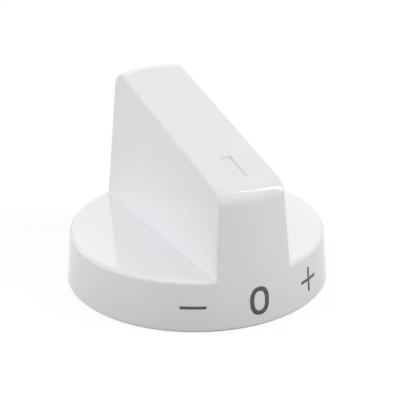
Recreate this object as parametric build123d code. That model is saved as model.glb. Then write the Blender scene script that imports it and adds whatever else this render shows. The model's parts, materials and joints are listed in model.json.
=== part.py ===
"""Control knob of a cooker: a moulded knob with a wedge grip, and the spring clip in its boss.

Millimetres. +Z is up along the spindle's axis and the origin is on that axis, at the skirt's foot.
The grip points along -Y: its low nose is at -Y and its high tail at +Y.
"""

from build123d import *
import os
from math import cos, hypot, radians, sqrt, tan

# Outer form of the moulding
SKIRT_DIAMETER = 50.0  # across the foot
SKIRT_HEIGHT = 10.0  # from the foot to the flat deck
SKIRT_DRAFT = 3.8  # degrees: the skirt, and the grip's two ends that carry it on upwards
GRIP_WIDTH = 15.8  # across the grip's middle where it leaves the deck
GRIP_DRAFT = 3.7  # degrees: the grip's two sides
GRIP_FLARE = 0.6  # degrees: how far each side is turned in plan, so that the tail is the wider end
RAMP_HEIGHT = 31.5  # top of the grip on the spindle's axis
RAMP_ANGLE = 12.7  # degrees: rise of the ramp towards the tail
CREASE_RADIUS = 3.0  # where the ramp turns down into the nose and the tail
EDGE_RADIUS = 0.6  # edges of the deck and of the grip's sides
ROOT_RADIUS = 0.4  # where the grip's sides stand on the deck
FOOT_CHAMFER = 0.3  # outer edge of the foot

# Pointer pocket in the ramp
POCKET_WIDTH = 2.2
POCKET_LENGTH = 6.8
POCKET_DEPTH = 0.35
POCKET_FROM_NOSE = 4.9  # from the ramp's front end, along the ramp
POCKET_CORNER_RADIUS = 0.3
POCKET_RIM_RADIUS = 0.25  # edge where the pocket opens into the ramp

# Underside
WALL = 2.2
RIB_THICKNESS = 1.4
RIB_RECESS = 3.0  # the ribs' lower edges, above the foot
BOSS_RECESS = 2.0  # the boss's mouth, above the foot
BOSS_WALL = 2.0  # least plastic outside the clip's slot

# Spindle that the knob is made for, and its socket
SPINDLE_DIAMETER = 6.0
SPINDLE_FLAT = 4.6  # from the flat to the far side
LEAD_IN_CLEARANCE = 0.25  # radial, in the round mouth that takes the spindle's unflatted part
LEAD_IN_LENGTH = 8.0
LEAD_IN_CHAMFER = 0.4
SOCKET_CLEARANCE = 0.05  # radial, in the D-shaped part above the mouth
WEB_LENGTH = 11.0  # height of the flat web that makes the socket a D
WEB_THICKNESS = 1.0  # between the socket and the clip's slot
RELIEF_STEP = 1.0  # the relief above the socket is this much smaller in radius
RELIEF_ROOF = 3.0  # plastic left between the relief and the ramp, on the axis

# Spring clip
CLIP_THICKNESS = 0.4
CLIP_LEG_LENGTH = 8.0  # straight leg in the slot
CLIP_END_RADIUS = 0.6  # corners of the strip's two ends
CLIP_PRELOAD = 0.15  # how far the free leaf's crown stands past the spindle's flat
CLIP_TRAVEL = 0.1  # room left behind the leaf once the spindle is in
CLIP_CLEARANCE = 0.05  # between the clip and the web, each side
CLIP_SIDE_CLEARANCE = 0.1  # between the clip's edges and its slot
CLIP_SIDE_MARGIN = 0.55  # from the clip's edges to the ends of the flat that it lies on
CLIP_END_MARGIN = 1.0  # from the leaf's end to the web's upper end
CLIP_FOLD_ROOM = 1.1  # round stretch below the web, where the clip is folded

# Worked out from the sizes above
SKIRT_RADIUS = SKIRT_DIAMETER / 2
CONE_SLOPE = tan(radians(SKIRT_DRAFT))
SIDE_SLOPE = tan(radians(GRIP_DRAFT))
RAMP_SLOPE = tan(radians(RAMP_ANGLE))
BLANK_TOP = RAMP_HEIGHT + SKIRT_RADIUS * RAMP_SLOPE  # higher than the tail
REACH = 2 * (SKIRT_DIAMETER + BLANK_TOP)  # for cutters that pass the whole knob

SPINDLE_RADIUS = SPINDLE_DIAMETER / 2
FLAT_OFFSET = SPINDLE_FLAT - SPINDLE_RADIUS  # from the axis to the spindle's flat
LEAD_IN_RADIUS = SPINDLE_RADIUS + LEAD_IN_CLEARANCE
SOCKET_RADIUS = SPINDLE_RADIUS + SOCKET_CLEARANCE
LEAD_IN_TOP = BOSS_RECESS + LEAD_IN_LENGTH
WEB_FOOT = LEAD_IN_TOP + CLIP_FOLD_ROOM
WEB_TOP = WEB_FOOT + WEB_LENGTH
WEB_FACE = FLAT_OFFSET + CLIP_TRAVEL + CLIP_THICKNESS + CLIP_CLEARANCE
WEB_BACK = WEB_FACE + WEB_THICKNESS

CLIP_WIDTH = 2 * (sqrt(SOCKET_RADIUS**2 - WEB_FACE**2) - CLIP_SIDE_MARGIN)
SLOT_WIDTH = CLIP_WIDTH + 2 * CLIP_SIDE_CLEARANCE
SLOT_BACK = WEB_BACK + CLIP_THICKNESS + 2 * CLIP_CLEARANCE
SLOT_TOP = WEB_FOOT + CLIP_LEG_LENGTH + CLIP_SIDE_CLEARANCE
BOSS_RADIUS = hypot(SLOT_WIDTH / 2, SLOT_BACK) + BOSS_WALL

# The ramp, with its own +Y up the slope towards the tail, and its front end on that line
RAMP = Plane(origin=(0, 0, RAMP_HEIGHT), x_dir=(1, 0, 0), z_dir=(0, -RAMP_SLOPE, 1))
NOSE_Y = (RAMP_HEIGHT * CONE_SLOPE - SKIRT_RADIUS) / (1 - RAMP_SLOPE * CONE_SLOPE)
NOSE_ON_RAMP = NOSE_Y / cos(radians(RAMP_ANGLE))

SEAM_AT_TAIL = (0, 0, 90)  # turn that puts the cone's seam out of sight, down the middle of the tail
ON_BASE = (Align.CENTER, Align.CENTER, Align.MIN)
BEHIND = (Align.CENTER, Align.MIN, Align.MIN)


def cone_radius(height, inset):
    """Radius of the skirt's cone at a height, with the cone moved inwards by inset."""
    return SKIRT_RADIUS - height * CONE_SLOPE - inset / cos(radians(SKIRT_DRAFT))


def half_grip(height, inset):
    """Half the width of the grip's middle at a height, with its sides moved inwards by inset."""
    return GRIP_WIDTH / 2 - (height - SKIRT_HEIGHT) * SIDE_SLOPE - inset / cos(radians(GRIP_DRAFT))


def sharp_form(inset, foot):
    """The knob's form from the height of its foot up, with every other face moved inwards by inset.

    One cone makes the skirt and the grip's two ends. The ramp cuts it off, and the space
    beside the grip is cut away down to the deck.
    """
    form = Location((0, 0, foot), SEAM_AT_TAIL) * Cone(
        cone_radius(foot, inset), cone_radius(BLANK_TOP, inset), BLANK_TOP - foot, align=ON_BASE
    )
    form -= RAMP * Pos(0, 0, -inset) * Box(REACH, REACH, REACH, align=ON_BASE)
    deck = SKIRT_HEIGHT - inset
    section = Polygon(
        (half_grip(deck, inset), deck),
        (REACH, deck),
        (REACH, BLANK_TOP),
        (half_grip(BLANK_TOP, inset), BLANK_TOP),
        align=None,
    )
    beside_grip = Rot(0, 0, -GRIP_FLARE) * extrude(Plane.XZ * section, amount=REACH, both=True)
    return form - beside_grip - mirror(beside_grip, Plane.YZ)


def edges_on_deck(form, inset, kind):
    """Edges of one kind in the deck's plane: lines along the grip's roots, circles round the rim."""
    deck = SKIRT_HEIGHT - inset
    return form.edges().filter_by_position(Axis.Z, deck, deck).filter_by(kind)


def shell():
    """The moulding's outer walls, open below.

    Once the creases and roots are rounded, the rim of the deck runs on without a corner up the
    grip's end, along the ramp and down the other end, so one rounding goes all round each side.
    """
    outside = sharp_form(0, 0)
    creases = outside.faces().filter_by(RAMP).edges().filter_by(GeomType.LINE, reverse=True)
    outside = fillet(creases, CREASE_RADIUS)
    outside = fillet(edges_on_deck(outside, 0, GeomType.LINE), ROOT_RADIUS)
    outside = fillet(edges_on_deck(outside, 0, GeomType.CIRCLE), EDGE_RADIUS)
    outside = chamfer(outside.edges().filter_by_position(Axis.Z, 0, 0), FOOT_CHAMFER)
    hollow = sharp_form(WALL, -WALL)
    hollow = fillet(edges_on_deck(hollow, WALL, GeomType.LINE), ROOT_RADIUS + WALL)
    return outside - hollow


def boss_and_ribs():
    """The boss round the socket and the rib across it, let halfway into the walls around them."""
    boss = Pos(0, 0, BOSS_RECESS) * Cylinder(BOSS_RADIUS, BLANK_TOP, align=ON_BASE)
    rib_height = SKIRT_HEIGHT - RIB_RECESS
    rib = Pos(0, 0, RIB_RECESS) * Box(SKIRT_DIAMETER, RIB_THICKNESS, rib_height, align=ON_BASE)
    return (boss + rib) & sharp_form(WALL / 2, 0)


def socket():
    """Cutter for the spindle's socket: a round mouth, a D above it, a relief, and the clip's slot."""
    mouth = Cylinder(LEAD_IN_RADIUS, LEAD_IN_LENGTH, align=ON_BASE)
    mouth += Cone(LEAD_IN_RADIUS + LEAD_IN_CHAMFER, LEAD_IN_RADIUS, LEAD_IN_CHAMFER, align=ON_BASE)
    round_part = Cylinder(SOCKET_RADIUS, WEB_TOP - BOSS_RECESS, align=ON_BASE)
    web = Pos(0, WEB_FACE, WEB_FOOT - BOSS_RECESS) * Box(REACH, REACH, REACH, align=BEHIND)
    relief = Cylinder(SOCKET_RADIUS - RELIEF_STEP, RAMP_HEIGHT - RELIEF_ROOF - BOSS_RECESS, align=ON_BASE)
    slot = Pos(0, WEB_BACK, 0) * Box(SLOT_WIDTH, SLOT_BACK - WEB_BACK, SLOT_TOP - BOSS_RECESS, align=BEHIND)
    entry = Box(SLOT_WIDTH, SLOT_BACK, WEB_FOOT - BOSS_RECESS, align=BEHIND)
    return Pos(0, 0, BOSS_RECESS) * (mouth + (round_part - web) + relief + slot + entry)


def pointer_pocket():
    """Cutter for the recess in the ramp that shows where the knob points."""
    outline = RectangleRounded(POCKET_WIDTH, POCKET_LENGTH, POCKET_CORNER_RADIUS)
    middle = NOSE_ON_RAMP + POCKET_FROM_NOSE + POCKET_LENGTH / 2
    return extrude(RAMP * Pos(0, middle, 0) * outline, amount=POCKET_DEPTH, both=True)


def knob_body():
    """The moulding: outer walls, boss, rib, socket and pointer pocket in one piece of plastic.

    The ramp is the largest face of its slope, and the pocket's rim is the only edge inside it.
    """
    body = shell() + boss_and_ribs() - socket() - pointer_pocket()
    pocket_rim = body.faces().filter_by(RAMP).sort_by(SortBy.AREA)[-1].inner_wires().edges()
    return fillet(pocket_rim, POCKET_RIM_RADIUS)


def spindle_clip():
    """A steel strip folded over the web's foot: a bowed leaf in the socket and a leg in the slot."""
    leaf_back = WEB_FACE - CLIP_CLEARANCE
    leaf_front = leaf_back - CLIP_THICKNESS
    bow = leaf_front - (FLAT_OFFSET - CLIP_PRELOAD)
    leaf_top = WEB_TOP - CLIP_END_MARGIN
    leaf_middle = (WEB_FOOT + leaf_top) / 2
    leg_front = WEB_BACK + CLIP_CLEARANCE
    leg_back = leg_front + CLIP_THICKNESS
    leg_top = WEB_FOOT + CLIP_LEG_LENGTH
    fold_middle = (leaf_back + leg_front) / 2
    inner_fold = WEB_FOOT - (leg_front - leaf_back) / 2
    outer_fold = inner_fold - CLIP_THICKNESS
    edge = Polyline((leg_back, WEB_FOOT), (leg_back, leg_top), (leg_front, leg_top), (leg_front, WEB_FOOT))
    edge += ThreePointArc((leg_front, WEB_FOOT), (fold_middle, inner_fold), (leaf_back, WEB_FOOT))
    edge += ThreePointArc((leaf_back, WEB_FOOT), (leaf_back - bow, leaf_middle), (leaf_back, leaf_top))
    edge += Line((leaf_back, leaf_top), (leaf_front, leaf_top))
    edge += ThreePointArc((leaf_front, leaf_top), (leaf_front - bow, leaf_middle), (leaf_front, WEB_FOOT))
    edge += ThreePointArc((leaf_front, WEB_FOOT), (fold_middle, outer_fold), (leg_back, WEB_FOOT))
    strip = extrude(Plane.YZ * make_face(edge), amount=CLIP_WIDTH / 2, both=True)
    return fillet(strip.edges().filter_by(Axis.Y), CLIP_END_RADIUS)


def main():
    os.makedirs("parts", exist_ok=True)
    for node, piece in (("knob_body", knob_body()), ("spindle_clip", spindle_clip())):
        export_step(piece, f"parts/{node}.step")


main()
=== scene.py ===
import json
import math

import bmesh
import bpy
from bpy.props import FloatProperty, FloatVectorProperty, PointerProperty
from bpy.types import Operator, Panel, PropertyGroup
from mathutils import Matrix, Vector


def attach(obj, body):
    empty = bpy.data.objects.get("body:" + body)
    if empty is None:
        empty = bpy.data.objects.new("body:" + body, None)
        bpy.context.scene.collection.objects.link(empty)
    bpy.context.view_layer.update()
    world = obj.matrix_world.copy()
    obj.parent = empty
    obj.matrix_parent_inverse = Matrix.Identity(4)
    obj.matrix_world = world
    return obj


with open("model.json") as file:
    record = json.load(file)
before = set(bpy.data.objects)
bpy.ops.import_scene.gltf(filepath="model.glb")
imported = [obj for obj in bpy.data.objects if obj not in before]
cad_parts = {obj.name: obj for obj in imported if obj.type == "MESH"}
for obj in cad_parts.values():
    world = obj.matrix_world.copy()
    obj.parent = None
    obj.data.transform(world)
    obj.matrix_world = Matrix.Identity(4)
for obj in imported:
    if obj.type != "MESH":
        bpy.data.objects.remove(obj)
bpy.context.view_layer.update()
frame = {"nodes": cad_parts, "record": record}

bl_info = {
    "name": "Control knob looks",
    "version": (1, 0, 0),
    "blender": (4, 5, 0),
    "location": "View3D > Sidebar > Knob",
    "description": "Plastic, steel and printed marks of a cooker's control knob, and its stage",
    "category": "Object",
}

MM = 0.001
MICRON = 1e-6

# Cloudy noise stays mostly between these two values.
NOISE_LOW = 0.3
NOISE_HIGH = 0.7
# How strong each finer layer of the noise is.
NOISE_ROUGHNESS = 0.55
# Rays for each shaded point at soft edges, and for the painted shade in inner corners.
SHADING_SAMPLES = 8
# Share of open space at which the painted shade of an inner corner is at its darkest.
CLOSED_CORNER = 0.4
# Shares of the wall's thickness: less deep is outside, deeper is inside.
OUTSIDE_SHARE = 0.5
INSIDE_SHARE = 0.7
# Share of a speck's radius in which it shows in full.
SPECK_CORE = 0.2
# How strongly plastic and ink bend light.
PLASTIC_IOR = 1.5
INK_IOR = 1.45
# Darkest and lightest tone, as factors on the colour.
STEEL_TONES = (0.86, 1.08)
INK_TONES = (0.9, 1.12)
# Distance between the cuts across the marks, which let them bend round the skirt.
MARK_CUT = 0.4 * MM
# A point this near to a cut lies on it.
ON_CUT = 1e-8
# Points this near to each other are one.
SAME_POINT = 1e-7
# Sides of the floor's disc.
FLOOR_SIDES = 96
# Width of the camera's sensor, in millimetres.
SENSOR_WIDTH = 36.0


def record_colour(slot):
    """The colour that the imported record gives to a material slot."""
    for entry in frame["record"]["materials"]:
        if entry["slot"] == slot:
            return tuple(entry["base_color"][:3])
    raise KeyError(f"the record has no material slot named {slot}")


def length(name, description, default):
    """A size in metres, shown in the scene's units."""
    return FloatProperty(
        name=name,
        description=description,
        default=default,
        min=0.0,
        precision=6,
        unit="LENGTH",
        subtype="DISTANCE",
    )


def angle(name, description, degrees):
    """An angle, given in degrees and kept in radians."""
    return FloatProperty(
        name=name, description=description, default=math.radians(degrees), unit="ROTATION", subtype="ANGLE"
    )


def share(name, description, default):
    """A part of a whole, from 0 to 1."""
    return FloatProperty(
        name=name, description=description, default=default, min=0.0, max=1.0, subtype="FACTOR"
    )


def colour(name, description, default):
    """A linear colour."""
    return FloatVectorProperty(
        name=name, description=description, default=default, size=3, min=0.0, max=1.0, subtype="COLOR"
    )


def place(name, description, default):
    """A point in the knob's frame, in metres."""
    return FloatVectorProperty(
        name=name,
        description=description,
        default=default,
        size=3,
        precision=6,
        unit="LENGTH",
        subtype="XYZ",
    )


class MouldingSettings(PropertyGroup):
    """Form and finish of the white moulding."""

    colour: colour("Plastic", "Colour of the moulded plastic", (0.885, 0.897, 0.915))
    tone_variation: share("Tone variation", "How much darker the cloudiest plastic is", 0.015)
    cloud_size: length("Cloud size", "Size of the plastic's cloudy patches", 9 * MM)
    gloss: share("Polish", "Roughness of the polished outside", 0.07)
    gloss_variation: share("Polish variation", "How much the polish varies", 0.03)
    gloss_grain: length("Polish grain", "Size of the patches in which the polish varies", 0.7 * MM)
    # Painted shade: the next two settings darken the plastic's colour in inner corners, by how closed in
    # each point is.
    painted_shade_reach: length("Corner reach", "How far the darker look of inner corners reaches", 0.6 * MM)
    painted_corner_shade: share("Corner shade", "How much darker the inner corners are", 0.2)
    edge_softness: length("Edge softness", "How far an edge's shine runs into its faces", 0.55 * MM)
    ripple_size: length("Ripple size", "Distance between the moulding's faint ripples", 3.2 * MM)
    ripple_height: length("Ripple height", "Height of the moulding's faint ripples", 0.5 * MICRON)
    inside_roughness: share("Inside roughness", "Roughness of the spark-eroded inside", 0.48)
    inside_grain: length("Inside grain", "Grain of the spark-eroded inside", 0.18 * MM)
    inside_relief: length("Inside relief", "Height of the inside's grain", 9 * MICRON)
    # This colour is used for the real specks and also for the painted shade in inner corners.
    speck_and_painted_shade_colour: colour("Specks and painted shade", "Colour of the specks and of shaded corners", (0.42, 0.42, 0.43))
    deck_speck: place("Deck speck", "Speck on the deck", (-15.26 * MM, 7.46 * MM, 10.0 * MM))
    deck_speck_radius: length("Deck speck radius", "Radius of the speck on the deck", 0.55 * MM)
    deck_speck_strength: share("Deck speck strength", "How far the speck on the deck shows", 0.26)
    tail_speck: place("Tail speck", "Speck on the grip's tail edge", (-6.70 * MM, 20.35 * MM, 32.0 * MM))
    tail_speck_radius: length("Tail speck radius", "Radius of the speck on the tail", 0.45 * MM)
    tail_speck_strength: share("Tail speck strength", "How far the speck on the tail shows", 0.38)
    skirt_radius: length("Skirt radius", "Radius of the skirt's cone, carried down to the foot", 25.0 * MM)
    skirt_draft: angle("Skirt draft", "Draft of the skirt and of the grip's ends", 3.8)
    deck_height: length("Deck height", "Height of the deck over the foot", 10.0 * MM)
    grip_width: length("Grip width", "Width of the grip where it leaves the deck", 15.8 * MM)
    grip_draft: angle("Grip draft", "Draft of the grip's sides", 3.7)
    ramp_height: length("Ramp height", "Height of the ramp on the axis", 31.5 * MM)
    ramp_angle: angle("Ramp angle", "Rise of the ramp towards the tail", 12.7)
    wall: length("Wall", "Thickness of the moulding's walls", 2.2 * MM)


class ClipSettings(PropertyGroup):
    """Finish of the sprung clip."""

    colour: colour("Steel", "Colour of the spring steel", record_colour("spring_steel"))
    roughness: share("Roughness", "Roughness of the rolled strip", 0.27)
    roughness_variation: share("Roughness variation", "Difference between the rolling streaks", 0.12)
    streak_width: length("Streak width", "Distance between rolling streaks", 0.16 * MM)
    streak_length: length("Streak length", "Length of a rolling streak", 5.0 * MM)
    streak_depth: length("Streak depth", "Depth of a rolling streak", 0.8 * MICRON)


class PrintSettings(PropertyGroup):
    """Marks printed round the skirt: angles run from the nose towards +X."""

    colour: colour("Ink", "Colour of the ink", (0.108, 0.097, 0.086))
    roughness: share("Ink roughness", "Roughness of the dry ink where it is smoothest", 0.45)
    roughness_variation: share("Ink variation", "How much rougher the ink is where it is dullest", 0.13)
    film_patch: length("Film patches", "Size of the patches in the ink's film", 0.5 * MM)
    ink_grain: length("Ink grain", "Grain of the dry ink", 0.12 * MM)
    ink_relief: length("Ink relief", "Height of the dry ink's grain", 1.5 * MICRON)
    ink_above: length("Ink film", "Height of the ink over the plastic", 0.03 * MM)
    ink_below: length("Ink bite", "How far the ink goes into the plastic", 0.03 * MM)
    corner: length("Corner radius", "Rounding of the bars' ends", 0.07 * MM)
    height: length("Mark height", "Height of the marks' middle over the foot", 4.95 * MM)
    minus_angle: angle("Minus", "Where the minus is", -28.6)
    minus_length: length("Minus length", "Length of the minus", 4.9 * MM)
    minus_stroke: length("Minus stroke", "Thickness of the minus", 0.56 * MM)
    nought_angle: angle("Nought", "Where the nought is", 0.85)
    nought_width: length("Nought width", "Width of the nought", 3.93 * MM)
    nought_height: length("Nought height", "Height of the nought", 5.52 * MM)
    nought_stroke: length("Nought stroke", "Thickness of the nought's line", 0.83 * MM)
    plus_angle: angle("Plus", "Where the plus is", 30.65)
    plus_raise: length("Plus raise", "How much higher the plus is than the other marks", 0.07 * MM)
    plus_width: length("Plus width", "Width of the plus", 4.8 * MM)
    plus_height: length("Plus height", "Height of the plus", 4.85 * MM)
    plus_stroke: length("Plus stroke", "Thickness of the plus's bars", 0.56 * MM)


class StageSettings(PropertyGroup):
    """Floor, light and camera."""

    # The floor by the knob is a darker grey than the open floor: painted shade standing in for a deeper
    # contact shadow, so that less light bounces onto the skirt's foot; the glow keeps it white where it is
    # seen directly or in reflections.
    floor_painted_shade: share("Floor by the knob", "Grey of the floor close to the knob", 0.2)
    floor_grey: share("Open floor", "Grey of the floor round about", 0.45)
    floor_light: share("Floor light", "Light on the open floor; a glow adds the rest up to white", 0.86)
    floor_radius: length("Floor radius", "Radius of the round floor", 2.5)
    shade_start: length("Shade start", "Out to here the floor is as grey as close to the knob", 28.0 * MM)
    shade_end: length("Shade end", "From here on it is as grey as the open floor", 50.0 * MM)
    floor_near: length("Near floor", "Out to here the floor shows the knob's shadow in full", 0.12)
    floor_far: length("Far floor", "From here on the floor is as white as the background", 0.5)
    ambient: FloatProperty(
        name="Ambient", description="Strength of the even light from all round", default=0.615, min=0.0
    )
    eye: place("Camera", "Where the camera stands", (-156.41 * MM, -310.33 * MM, 170.52 * MM))
    target: place("Aim", "Point in the middle of the picture", (1.197 * MM, 0.843 * MM, 14.835 * MM))
    roll: angle("Roll", "Turn of the camera about its line of sight", -0.465)
    lens: FloatProperty(name="Lens", description="Focal length", default=179.583, min=1.0, unit="CAMERA")


# Softboxes: where each stands, seen from the knob (degrees from the nose towards +X, and up),
# how far off, how wide and high, and how bright its face is.
SOFTBOXES = (
    ("softbox_back_left", -153.0, 24.0, 0.60, 0.18, 0.13, 2.4),
    ("softbox_back_right", 152.0, 25.0, 0.60, 0.28, 0.20, 0.83),
    ("softbox_left", -110.0, 14.0, 0.60, 0.50, 0.30, 1.45),
    ("softbox_front_left", -30.0, 37.0, 0.60, 0.30, 0.28, 1.75),
    ("softbox_right", 76.0, 12.0, 0.60, 0.36, 0.24, 0.70),
    ("strip_front_right", 53.0, 37.0, 0.60, 0.045, 0.72, 8.5),
)
SOFTBOX_AIM = Vector((0.0, 0.0, 15.0 * MM))


def add_node(tree, kind, inputs=(), **settings):
    """A new node with its settings and its inputs, each a value or another node's output."""
    made = tree.nodes.new(kind)
    for name, value in settings.items():
        setattr(made, name, value)
    for name, value in dict(inputs).items():
        if isinstance(value, bpy.types.NodeSocket):
            tree.links.new(value, made.inputs[name])
        else:
            made.inputs[name].default_value = value
    return made


def calc(tree, operation, *values):
    """One step of arithmetic on numbers and outputs."""
    return add_node(tree, "ShaderNodeMath", dict(enumerate(values)), operation=operation).outputs[0]


def spread(tree, value, low, high, to_low, to_high, smooth=False):
    """A value between low and high, carried over to another span and held at its ends."""
    inputs = {"Value": value, "From Min": low, "From Max": high, "To Min": to_low, "To Max": to_high}
    kind = "SMOOTHSTEP" if smooth else "LINEAR"
    made = add_node(tree, "ShaderNodeMapRange", inputs, interpolation_type=kind, clamp=True)
    return made.outputs["Result"]


def blend_colour(tree, factor, first, second):
    """A colour between two others."""
    made = add_node(tree, "ShaderNodeMix", data_type="RGBA", clamp_factor=True)
    for name, value in (("Factor_Float", factor), ("A_Color", first), ("B_Color", second)):
        socket = next(s for s in made.inputs if s.identifier == name)
        if isinstance(value, bpy.types.NodeSocket):
            tree.links.new(value, socket)
        else:
            socket.default_value = value
    return next(s for s in made.outputs if s.identifier == "Result_Color")


def grain(tree, where, size, detail=2.0):
    """Cloudy noise with features of about one size, from 0 to 1."""
    inputs = {"Vector": where, "Scale": 1.0 / size, "Detail": detail, "Roughness": NOISE_ROUGHNESS}
    return add_node(tree, "ShaderNodeTexNoise", inputs, noise_dimensions="3D").outputs["Fac"]


def varied(tree, noise, low, high):
    """Noise carried over to values from low to high."""
    return spread(tree, noise, NOISE_LOW, NOISE_HIGH, low, high)


def opaque(rgb, factor=1.0):
    """A colour with its alpha, made lighter or darker by a factor."""
    return (*(min(1.0, part * factor) for part in rgb), 1.0)


def new_material(name):
    """A new material, its emptied tree, and the piece's own coordinates in that tree."""
    material = bpy.data.materials.new(name)
    material.use_nodes = True
    tree = material.node_tree
    tree.nodes.clear()
    where = add_node(tree, "ShaderNodeTexCoord").outputs["Object"]
    return material, tree, where


def finish_with(tree, shader):
    """Joins a shader to the material's output."""
    add_node(tree, "ShaderNodeOutputMaterial", {"Surface": shader})


def finish_solid(tree, inputs):
    """Ends a material with the shader for solid surfaces."""
    finish_with(tree, add_node(tree, "ShaderNodeBsdfPrincipled", inputs).outputs["BSDF"])


def relief_normal(tree, relief, under=None):
    """Shading of a relief, whose height is in metres, over other shading where that is given."""
    made = add_node(tree, "ShaderNodeBump", {"Strength": 1.0, "Distance": 1.0, "Height": relief})
    if under is not None:
        tree.links.new(under, made.inputs["Normal"])
    return made.outputs["Normal"]


def inside_of_walls(tree, where, settings):
    """1 on the faces inside the moulding's walls and 0 on its outer faces, from how deep a point is.

    The outer form is one cone, cut off by the ramp and cut away beside the grip down to the deck.
    """
    parts = add_node(tree, "ShaderNodeSeparateXYZ", {"Vector": where}).outputs
    x, y, z = parts["X"], parts["Y"], parts["Z"]
    inputs = {0: where, 1: (1.0, 1.0, 0.0)}
    flat = add_node(tree, "ShaderNodeVectorMath", inputs, operation="MULTIPLY").outputs["Vector"]
    radius = add_node(tree, "ShaderNodeVectorMath", {0: flat}, operation="LENGTH").outputs["Value"]
    cone = calc(tree, "MULTIPLY_ADD", z, -math.tan(settings.skirt_draft), settings.skirt_radius)
    under_cone = calc(tree, "SUBTRACT", cone, radius)
    ramp = calc(tree, "MULTIPLY_ADD", y, math.tan(settings.ramp_angle), settings.ramp_height)
    under_ramp = calc(tree, "SUBTRACT", ramp, z)
    under_deck = calc(tree, "SUBTRACT", settings.deck_height, z)
    lean = math.tan(settings.grip_draft)
    side = calc(tree, "MULTIPLY_ADD", z, -lean, settings.grip_width / 2 + settings.deck_height * lean)
    in_grip = calc(tree, "SUBTRACT", side, calc(tree, "ABSOLUTE", x))
    depth = calc(tree, "MINIMUM", under_cone, under_ramp)
    depth = calc(tree, "MINIMUM", depth, calc(tree, "MAXIMUM", under_deck, in_grip))
    return spread(tree, depth, OUTSIDE_SHARE * settings.wall, INSIDE_SHARE * settings.wall, 0.0, 1.0)


def speck(tree, where, centre, radius, strength):
    """A small round speck, at its full strength in the middle and 0 outside."""
    inputs = {0: where, 1: tuple(centre)}
    away = add_node(tree, "ShaderNodeVectorMath", inputs, operation="DISTANCE").outputs["Value"]
    return spread(tree, away, SPECK_CORE * radius, radius, strength, 0.0, smooth=True)


def white_plastic(settings):
    """Glossy white moulding: polished outside, spark-eroded inside, two specks, and painted shade darkening
    the inner corners.
    """
    material, tree, where = new_material("white_moulded_plastic")
    inside = inside_of_walls(tree, where, settings)
    # Dark colour of the specks, also used below for the painted shade in inner corners.
    speck_and_shade_tone = opaque(settings.speck_and_painted_shade_colour)

    cloud = varied(tree, grain(tree, where, settings.cloud_size), 0.0, 1.0)
    cloudiest = opaque(settings.colour, 1.0 - settings.tone_variation)
    tone = blend_colour(tree, cloud, cloudiest, opaque(settings.colour))
    on_deck = speck(
        tree, where, settings.deck_speck, settings.deck_speck_radius, settings.deck_speck_strength
    )
    on_tail = speck(
        tree, where, settings.tail_speck, settings.tail_speck_radius, settings.tail_speck_strength
    )
    tone = blend_colour(tree, calc(tree, "MAXIMUM", on_deck, on_tail), tone, speck_and_shade_tone)
    # Painted shade: the colour is pulled towards the dark colour in inner corners, as far as the Ambient
    # Occlusion node finds them closed in.
    open_space = add_node(
        tree,
        "ShaderNodeAmbientOcclusion",
        {"Distance": settings.painted_shade_reach},
        samples=SHADING_SAMPLES,
        only_local=True,
    )
    corners = spread(tree, open_space.outputs["AO"], CLOSED_CORNER, 1.0, settings.painted_corner_shade, 0.0)
    tone = blend_colour(tree, corners, tone, speck_and_shade_tone)

    fine = grain(tree, where, settings.gloss_grain, detail=3.0)
    polish = varied(tree, fine, settings.gloss, settings.gloss + settings.gloss_variation)
    duller = calc(tree, "MULTIPLY", inside, settings.inside_roughness - settings.gloss)
    roughness = calc(tree, "ADD", polish, duller)

    ripple = calc(tree, "MULTIPLY", grain(tree, where, settings.ripple_size), settings.ripple_height)
    erosion = calc(tree, "MULTIPLY", grain(tree, where, settings.inside_grain), settings.inside_relief)
    relief = calc(tree, "ADD", ripple, calc(tree, "MULTIPLY", erosion, inside))
    soft = add_node(tree, "ShaderNodeBevel", {"Radius": settings.edge_softness}, samples=SHADING_SAMPLES)
    normal = relief_normal(tree, relief, soft.outputs["Normal"])
    finish_solid(tree, {"Base Color": tone, "Roughness": roughness, "Normal": normal, "IOR": PLASTIC_IOR})
    return material


def rolled_steel(settings):
    """Bright spring strip with streaks along its length, which is the knob's up."""
    material, tree, where = new_material("rolled_spring_steel")
    stretch = (1.0 / settings.streak_width, 1.0 / settings.streak_width, 1.0 / settings.streak_length)
    along = add_node(tree, "ShaderNodeMapping", {"Vector": where, "Scale": stretch}, vector_type="POINT")
    streaks = grain(tree, along.outputs["Vector"], 1.0, detail=4.0)
    darkest, lightest = (opaque(settings.colour, factor) for factor in STEEL_TONES)
    tone = blend_colour(tree, varied(tree, streaks, 0.0, 1.0), darkest, lightest)
    low = settings.roughness - settings.roughness_variation / 2
    roughness = varied(tree, streaks, low, low + settings.roughness_variation)
    normal = relief_normal(tree, calc(tree, "MULTIPLY", streaks, settings.streak_depth))
    finish_solid(tree, {"Base Color": tone, "Metallic": 1.0, "Roughness": roughness, "Normal": normal})
    return material


def printing_ink(settings):
    """Dry pad-printing ink: dark, dull and a little uneven."""
    material, tree, where = new_material("pad_printing_ink")
    film = grain(tree, where, settings.film_patch, detail=3.0)
    darkest, lightest = (opaque(settings.colour, factor) for factor in INK_TONES)
    tone = blend_colour(tree, varied(tree, film, 0.0, 1.0), darkest, lightest)
    roughness = varied(tree, film, settings.roughness, settings.roughness + settings.roughness_variation)
    relief = calc(tree, "MULTIPLY", grain(tree, where, settings.ink_grain), settings.ink_relief)
    normal = relief_normal(tree, relief)
    finish_solid(tree, {"Base Color": tone, "Roughness": roughness, "Normal": normal, "IOR": INK_IOR})
    return material


def give_material(node, material):
    """Puts a finish on a CAD node, whose mesh stays as it is."""
    for material_slot in frame["nodes"][node].material_slots:
        material_slot.material = material


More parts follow.
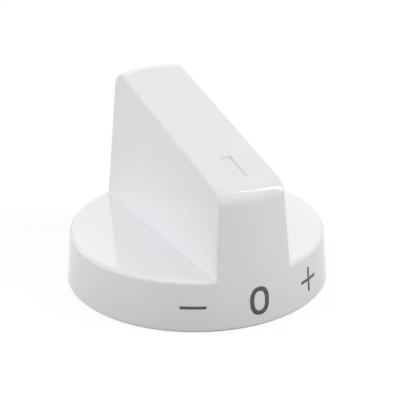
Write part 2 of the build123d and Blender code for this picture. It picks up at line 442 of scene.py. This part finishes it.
def rounded_outline(corners, radius, steps=3):
    """An outline of straight sides, anticlockwise, with its outward corners rounded."""
    outline = []
    count = len(corners)
    for i in range(count):
        before, here, after = (Vector(corners[(i + k) % count]) for k in (-1, 0, 1))
        come, go = (here - before).normalized(), (after - here).normalized()
        if come.cross(go) <= 0:
            outline.append(here)
            continue
        centre = here + (go - come) * radius
        start = math.atan2(-go.y, -go.x)
        for k in range(steps + 1):
            turn = start + 0.5 * math.pi * k / steps
            outline.append(centre + radius * Vector((math.cos(turn), math.sin(turn))))
    return outline


def bar_corners(width, height):
    """Corners of an upright rectangle round the origin."""
    x, y = width / 2, height / 2
    return [(-x, -y), (x, -y), (x, y), (-x, y)]


def cross_corners(width, height, stroke):
    """Corners of a plus round the origin."""
    x, y, s = width / 2, height / 2, stroke / 2
    lower_right = [(-s, -y), (s, -y), (s, -s), (x, -s), (x, s), (s, s)]
    upper_left = [(-a, -b) for a, b in lower_right]
    return lower_right + upper_left


def oval(width, height, steps=72, fullness=2.4):
    """Points of a full oval, rounder in its shoulders than an ellipse."""
    points = []
    for i in range(steps):
        turn = 2 * math.pi * i / steps
        c, s = math.cos(turn), math.sin(turn)
        x = math.copysign(abs(c) ** (2 / fullness), c) * width / 2
        y = math.copysign(abs(s) ** (2 / fullness), s) * height / 2
        points.append(Vector((x, y)))
    return points


def flat_marks(settings, print_radius):
    """The three marks laid out flat: x runs round the skirt from the nose, y up from the foot."""
    sheet = bmesh.new()

    def at(centre, point, up=0.0):
        return sheet.verts.new((centre * print_radius + point.x, settings.height + up + point.y, 0.0))

    bar = bar_corners(settings.minus_length, settings.minus_stroke)
    cross = cross_corners(settings.plus_width, settings.plus_height, settings.plus_stroke)
    for centre, up, corners in (
        (settings.minus_angle, 0.0, bar),
        (settings.plus_angle, settings.plus_raise, cross),
    ):
        sheet.faces.new([at(centre, point, up) for point in rounded_outline(corners, settings.corner)])
    inner_width = settings.nought_width - 2 * settings.nought_stroke
    inner_height = settings.nought_height - 2 * settings.nought_stroke
    outer = [at(settings.nought_angle, p) for p in oval(settings.nought_width, settings.nought_height)]
    inner = [at(settings.nought_angle, p) for p in oval(inner_width, inner_height)]
    for i in range(len(outer)):
        k = (i + 1) % len(outer)
        sheet.faces.new([outer[i], outer[k], inner[k], inner[i]])

    first = min(v.co.x for v in sheet.verts)
    last = max(v.co.x for v in sheet.verts)
    for i in range(1, int((last - first) / MARK_CUT) + 1):
        bmesh.ops.bisect_plane(
            sheet,
            geom=sheet.verts[:] + sheet.edges[:] + sheet.faces[:],
            dist=ON_CUT,
            plane_co=(first + i * MARK_CUT, 0.0, 0.0),
            plane_no=(1.0, 0.0, 0.0),
        )
    mesh = bpy.data.meshes.new("skirt_marks")
    sheet.to_mesh(mesh)
    sheet.free()
    return mesh


def wrap_on_skirt_tree():
    """Geometry Nodes that give flat marks a thickness and lay them round the skirt's cone."""
    tree = bpy.data.node_groups.new("lay_marks_on_skirt", "GeometryNodeTree")
    face = tree.interface
    face.new_socket("Marks", in_out="INPUT", socket_type="NodeSocketGeometry")
    for name in ("Skirt radius", "Skirt draft", "Print radius", "Ink above", "Ink below"):
        face.new_socket(name, in_out="INPUT", socket_type="NodeSocketFloat")
    face.new_socket("Ink", in_out="INPUT", socket_type="NodeSocketMaterial")
    face.new_socket("Marks", in_out="OUTPUT", socket_type="NodeSocketGeometry")
    given = add_node(tree, "NodeGroupInput").outputs

    # A closed film: the flat marks are its underside, and the same marks raised are its top and edges.
    drop = add_node(
        tree, "ShaderNodeCombineXYZ", {"Z": calc(tree, "MULTIPLY", given["Ink below"], -1.0)}
    ).outputs["Vector"]
    under = add_node(tree, "GeometryNodeSetPosition", {"Geometry": given["Marks"], "Offset": drop})
    film = calc(tree, "ADD", given["Ink above"], given["Ink below"])
    raised = add_node(
        tree,
        "GeometryNodeExtrudeMesh",
        {"Mesh": under.outputs["Geometry"], "Offset Scale": film, "Individual": False},
        mode="FACES",
    )
    turned = add_node(tree, "GeometryNodeFlipFaces", {"Mesh": under.outputs["Geometry"]})
    both = add_node(tree, "GeometryNodeJoinGeometry")
    tree.links.new(turned.outputs["Mesh"], both.inputs["Geometry"])
    tree.links.new(raised.outputs["Mesh"], both.inputs["Geometry"])
    closed = add_node(
        tree, "GeometryNodeMergeByDistance", {"Geometry": both.outputs["Geometry"], "Distance": SAME_POINT}
    )

    # Flat x, y and z become the way round the cone, the height on it and the distance off it.
    spot = add_node(tree, "GeometryNodeInputPosition").outputs["Position"]
    flat = add_node(tree, "ShaderNodeSeparateXYZ", {"Vector": spot}).outputs
    turn = calc(tree, "DIVIDE", flat["X"], given["Print radius"])
    draft = given["Skirt draft"]
    inwards = calc(tree, "MULTIPLY", flat["Y"], calc(tree, "TANGENT", draft))
    cone = calc(tree, "SUBTRACT", given["Skirt radius"], inwards)
    out = calc(tree, "ADD", cone, calc(tree, "MULTIPLY", flat["Z"], calc(tree, "COSINE", draft)))
    up = calc(tree, "ADD", flat["Y"], calc(tree, "MULTIPLY", flat["Z"], calc(tree, "SINE", draft)))
    x = calc(tree, "MULTIPLY", out, calc(tree, "SINE", turn))
    y = calc(tree, "MULTIPLY", calc(tree, "MULTIPLY", out, -1.0), calc(tree, "COSINE", turn))
    laid = add_node(tree, "ShaderNodeCombineXYZ", {"X": x, "Y": y, "Z": up}).outputs["Vector"]
    wrapped = add_node(
        tree, "GeometryNodeSetPosition", {"Geometry": closed.outputs["Geometry"], "Position": laid}
    )
    smooth = add_node(
        tree,
        "GeometryNodeSetShadeSmooth",
        {"Geometry": wrapped.outputs["Geometry"], "Selection": raised.outputs["Top"], "Shade Smooth": True},
        domain="FACE",
    )
    real = add_node(tree, "GeometryNodeRealizeInstances", {"Geometry": smooth.outputs["Geometry"]})
    inked = add_node(
        tree, "GeometryNodeSetMaterial", {"Geometry": real.outputs["Geometry"], "Material": given["Ink"]}
    )
    add_node(tree, "NodeGroupOutput", {"Marks": inked.outputs["Geometry"]})
    return tree


def set_inputs(modifier, values):
    """Sets a Geometry Nodes modifier's inputs, found by the name of their sockets."""
    for item in modifier.node_group.interface.items_tree:
        if item.item_type == "SOCKET" and item.in_out == "INPUT" and item.name in values:
            modifier[item.identifier] = values[item.name]


def make_plain(piece):
    """Turns what a piece's modifiers make into its own mesh, and takes the modifiers off."""
    bpy.context.view_layer.update()
    shown = piece.evaluated_get(bpy.context.evaluated_depsgraph_get())
    mesh = bpy.data.meshes.new_from_object(shown)
    piece.modifiers.clear()
    piece.data = mesh
    mesh.name = piece.name


def add_object(name, data):
    """A new object in the scene, at the origin."""
    made = bpy.data.objects.new(name, data)
    bpy.context.scene.collection.objects.link(made)
    return made


class KNOB_OT_finish_moulding(Operator):
    """Give the moulding its glossy white plastic"""

    bl_idname = "knob.finish_moulding"
    bl_label = "Finish moulding"

    def execute(self, context):
        give_material("knob_body", white_plastic(context.scene.knob_moulding))
        return {"FINISHED"}


class KNOB_OT_finish_clip(Operator):
    """Give the sprung clip its rolled steel"""

    bl_idname = "knob.finish_clip"
    bl_label = "Finish clip"

    def execute(self, context):
        give_material("spindle_clip", rolled_steel(context.scene.knob_clip))
        return {"FINISHED"}


class KNOB_OT_print_marks(Operator):
    """Print the minus, the nought and the plus round the skirt"""

    bl_idname = "knob.print_marks"
    bl_label = "Print marks"

    def execute(self, context):
        settings = context.scene.knob_print
        moulding = context.scene.knob_moulding
        print_radius = moulding.skirt_radius - settings.height * math.tan(moulding.skirt_draft)
        marks = add_object("skirt_marks", flat_marks(settings, print_radius))
        modifier = marks.modifiers.new("lay_on_skirt", "NODES")
        modifier.node_group = wrap_on_skirt_tree()
        set_inputs(
            modifier,
            {
                "Skirt radius": moulding.skirt_radius,
                "Skirt draft": moulding.skirt_draft,
                "Print radius": print_radius,
                "Ink above": settings.ink_above,
                "Ink below": settings.ink_below,
                "Ink": printing_ink(settings),
            },
        )
        make_plain(marks)
        if not marks.data.polygons:
            raise RuntimeError("the marks came out empty")
        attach(marks, "root")
        return {"FINISHED"}


def white_rays(tree):
    """1 for rays that see the background, straight, by gloss or through glass, and 0 for other light."""
    seen = add_node(tree, "ShaderNodeLightPath").outputs
    total = calc(tree, "ADD", seen["Is Camera Ray"], seen["Is Glossy Ray"])
    return calc(tree, "MINIMUM", calc(tree, "ADD", total, seen["Is Transmission Ray"]), 1.0)


def floor_material(settings):
    """Pale floor that takes the knob's shadow and runs out into the white background. Close to the knob its
    grey is darker, a painted shadow that bounces less light onto the skirt's foot.
    """
    material, tree, where = new_material("pale_floor")
    away = add_node(tree, "ShaderNodeVectorMath", {0: where}, operation="LENGTH").outputs["Value"]
    shade = (settings.shade_start, settings.shade_end, settings.floor_painted_shade, settings.floor_grey)
    fading = (settings.floor_near, settings.floor_far, 1.0, 0.0)
    # Painted shade: the floor's grey is darker close to the knob and lighter further out.
    grey_with_painted_shade = spread(tree, away, *shade, smooth=True)
    grey = calc(tree, "MULTIPLY", grey_with_painted_shade, spread(tree, away, *fading, smooth=True))
    rest = calc(tree, "SUBTRACT", 1.0, calc(tree, "MULTIPLY", grey, settings.floor_light))
    dull = add_node(tree, "ShaderNodeBsdfDiffuse", {"Color": grey})
    strength = calc(tree, "MULTIPLY", rest, white_rays(tree))
    glow = add_node(tree, "ShaderNodeEmission", {"Strength": strength})
    both = add_node(tree, "ShaderNodeAddShader", {0: dull.outputs["BSDF"], 1: glow.outputs["Emission"]})
    finish_with(tree, both.outputs["Shader"])
    return material


def add_floor(settings):
    """A round floor at the height of the skirt's foot."""
    disc = bmesh.new()
    bmesh.ops.create_circle(disc, cap_ends=True, segments=FLOOR_SIDES, radius=settings.floor_radius)
    mesh = bpy.data.meshes.new("floor")
    disc.to_mesh(mesh)
    disc.free()
    mesh.materials.append(floor_material(settings))
    add_object("floor", mesh)


def add_background(settings):
    """A white background with a softer light for what it shines on."""
    world = bpy.data.worlds.new("white_studio")
    world.use_nodes = True
    tree = world.node_tree
    tree.nodes.clear()
    strength = spread(tree, white_rays(tree), 0.0, 1.0, settings.ambient, 1.0)
    sky = add_node(tree, "ShaderNodeBackground", {"Color": (1.0, 1.0, 1.0, 1.0), "Strength": strength})
    add_node(tree, "ShaderNodeOutputWorld", {"Surface": sky.outputs["Background"]})
    bpy.context.scene.world = world


def add_softboxes():
    """Soft area lamps round the knob, all turned to it."""
    for name, round_degrees, up_degrees, away, width, height, brightness in SOFTBOXES:
        around, up = math.radians(round_degrees), math.radians(up_degrees)
        out = Vector((math.sin(around) * math.cos(up), -math.cos(around) * math.cos(up), math.sin(up)))
        data = bpy.data.lights.new(name, "AREA")
        data.shape = "RECTANGLE"
        data.size = width
        data.size_y = height
        data.energy = brightness * math.pi * width * height
        lamp = add_object(name, data)
        turn = (-out).to_track_quat("-Z", "Y").to_matrix().to_4x4()
        lamp.matrix_world = Matrix.Translation(SOFTBOX_AIM + away * out) @ turn
        lamp.visible_camera = False


def add_camera(settings):
    """The camera, where the photograph was taken from."""
    data = bpy.data.cameras.new("camera")
    data.lens = settings.lens
    data.sensor_width = SENSOR_WIDTH
    camera = add_object("camera", data)
    eye, target = Vector(settings.eye), Vector(settings.target)
    turn = (target - eye).to_track_quat("-Z", "Y").to_matrix().to_4x4()
    camera.matrix_world = Matrix.Translation(eye) @ turn @ Matrix.Rotation(settings.roll, 4, "Z")
    bpy.context.scene.camera = camera


class KNOB_OT_set_stage(Operator):
    """Set the knob on a pale floor under soft light, and put the camera in place"""

    bl_idname = "knob.set_stage"
    bl_label = "Set stage"

    def execute(self, context):
        settings = context.scene.knob_stage
        add_floor(settings)
        add_background(settings)
        add_softboxes()
        add_camera(settings)
        context.scene.view_settings.view_transform = "Standard"
        return {"FINISHED"}


class KNOB_PT_looks(Panel):
    """The steps that dress the knob, with their settings"""

    bl_idname = "KNOB_PT_looks"
    bl_label = "Control knob"
    bl_space_type = "VIEW_3D"
    bl_region_type = "UI"
    bl_category = "Knob"

    def draw(self, context):
        for step, name, group in STEPS:
            box = self.layout.box()
            box.operator(step.bl_idname)
            settings = getattr(context.scene, name)
            for field in group.__annotations__:
                box.prop(settings, field)


# Each step, the name of its settings in the scene, and their kind.
STEPS = (
    (KNOB_OT_finish_moulding, "knob_moulding", MouldingSettings),
    (KNOB_OT_finish_clip, "knob_clip", ClipSettings),
    (KNOB_OT_print_marks, "knob_print", PrintSettings),
    (KNOB_OT_set_stage, "knob_stage", StageSettings),
)


def register():
    for step, name, group in STEPS:
        bpy.utils.register_class(group)
        setattr(bpy.types.Scene, name, PointerProperty(type=group))
        bpy.utils.register_class(step)
    bpy.utils.register_class(KNOB_PT_looks)


def unregister():
    bpy.utils.unregister_class(KNOB_PT_looks)
    for step, name, group in reversed(STEPS):
        bpy.utils.unregister_class(step)
        delattr(bpy.types.Scene, name)
        bpy.utils.unregister_class(group)


def main():
    register()
    bpy.ops.knob.finish_moulding()
    bpy.ops.knob.finish_clip()
    bpy.ops.knob.print_marks()
    bpy.ops.knob.set_stage()


if __name__ == "__main__":
    main()
